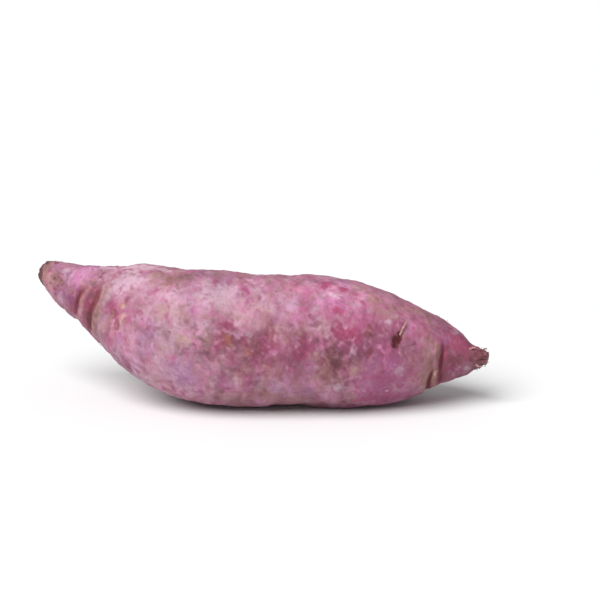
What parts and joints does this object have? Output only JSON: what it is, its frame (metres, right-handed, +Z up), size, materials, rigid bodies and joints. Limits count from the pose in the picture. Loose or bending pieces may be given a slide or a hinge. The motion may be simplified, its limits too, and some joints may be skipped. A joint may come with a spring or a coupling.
{
  "type": "purple sweet potato",
  "caption": "Whole raw purple-skinned sweet potato with a creased neck, a woody crown scar and a tapered tail, lying on a small flat spot.",
  "frame": {"origin": "on the surface the root lies on, under the middle of its bounding box", "axes": "+X runs along the root from the crown, where it hung from the vine, to the tail; +Y is its back; +Z is up"},
  "size_m": [0.1838, 0.0632, 0.0544],
  "materials": {
    "skin": "dry, thin root skin, dusty purple pink, with paler bloom, tan corky marks and maroon creases"
  },
  "bodies": {
    "root": {"tuber": "skin"}
  },
  "joints": []
}
